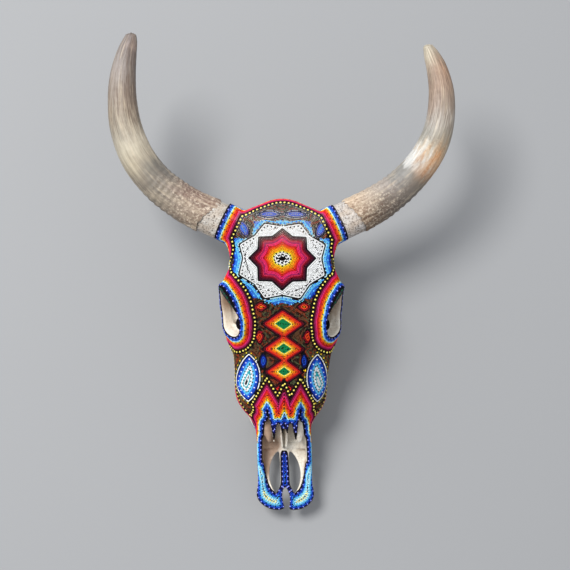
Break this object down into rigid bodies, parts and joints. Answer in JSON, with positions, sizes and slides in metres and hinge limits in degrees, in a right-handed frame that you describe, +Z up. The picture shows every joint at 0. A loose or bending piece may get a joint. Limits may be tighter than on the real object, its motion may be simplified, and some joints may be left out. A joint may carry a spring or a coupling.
{
  "type": "beaded cow skull",
  "caption": "Life-size horned cow skull without its lower jaw, lying dorsal side up, its face covered in small glass beads.",
  "frame": {"origin": "centre of the skull's bounding box in plan, at the height of the worn faces of the cheek teeth that it rests on", "axes": "+Z up, away from the surface it lies on; -Y towards the snout; +X towards the animal's own left side, which is on the right of the picture"},
  "size_m": [0.5358, 0.7216, 0.2314],
  "materials": {
    "bone": "dry pale bone, dull, darker and browner in hollows",
    "horn_core": "porous pale bone with dark pits",
    "horn": "weathered keratin, flaking at the base, fibrous towards the tip",
    "beads": "small opaque glass seed beads in many colours, set close in dark wax"
  },
  "bodies": {
    "root": {"frontal": "bone", "braincase": "bone", "occipital": "bone", "nasal_left": "bone", "nasal_right": "bone", "zygomatic_left": "bone", "zygomatic_right": "bone", "premaxilla_left": "bone", "premaxilla_right": "bone", "maxilla_left": "bone", "maxilla_right": "bone", "vomer": "bone", "horn_core_left": "horn_core", "horn_core_right": "horn_core", "horn_left": "horn", "horn_right": "horn"}
  },
  "joints": []
}
